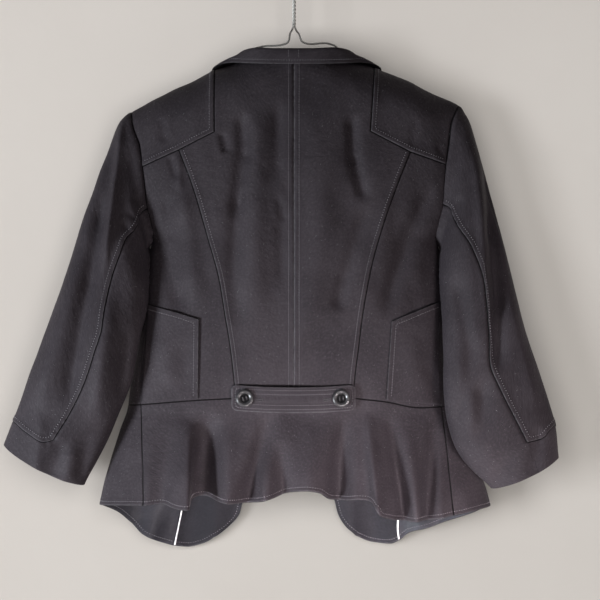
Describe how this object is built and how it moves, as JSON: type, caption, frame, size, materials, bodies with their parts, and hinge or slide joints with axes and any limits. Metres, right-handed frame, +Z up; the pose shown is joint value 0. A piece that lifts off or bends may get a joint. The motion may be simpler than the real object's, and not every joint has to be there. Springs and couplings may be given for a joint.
{
  "type": "peplum jacket on a wire hanger",
  "caption": "Short fitted black jacket with a flared peplum, turned-down collar, shoulder yokes, three-quarter sleeves and a buttoned back tab, hung on a twisted wire hanger.",
  "frame": {"origin": "the bearing point under the top of the hanger hook, where a rail or wall hook holds it", "axes": "+Z up, -Y the way the back of the jacket faces, +Y the way its front faces, +X towards the wearer's right sleeve"},
  "size_m": [0.6615, 0.1496, 0.7306],
  "materials": {
    "shell_cloth": "matte cotton twill with a faint sheen",
    "lining_cloth": "smooth satin lining",
    "piping_cloth": "white corded piping",
    "button": "glossy",
    "wire": "white coated"
  },
  "bodies": {
    "root": {"back_center_left": "shell_cloth", "back_center_right": "shell_cloth", "back_side_left": "shell_cloth", "back_side_right": "shell_cloth", "belt_tab": "shell_cloth", "collar": "shell_cloth", "facing_left": "shell_cloth", "facing_right": "shell_cloth", "front_left": "shell_cloth", "front_right": "shell_cloth", "lapel_left": "shell_cloth", "lapel_right": "shell_cloth", "patch_left": "shell_cloth", "patch_right": "shell_cloth", "peplum_back": "shell_cloth", "peplum_front_left": "shell_cloth", "peplum_front_right": "shell_cloth", "sleeve_left_under": "shell_cloth", "sleeve_left_upper": "shell_cloth", "sleeve_right_under": "shell_cloth", "sleeve_right_upper": "shell_cloth", "yoke_left": "shell_cloth", "yoke_right": "shell_cloth", "lining_left": "lining_cloth", "lining_right": "lining_cloth", "piping_left": "piping_cloth", "piping_right": "piping_cloth", "front_button_1": "button", "front_button_2": "button", "front_button_3": "button", "tab_button_left": "button", "tab_button_right": "button", "hanger_wire": "wire"}
  },
  "joints": []
}
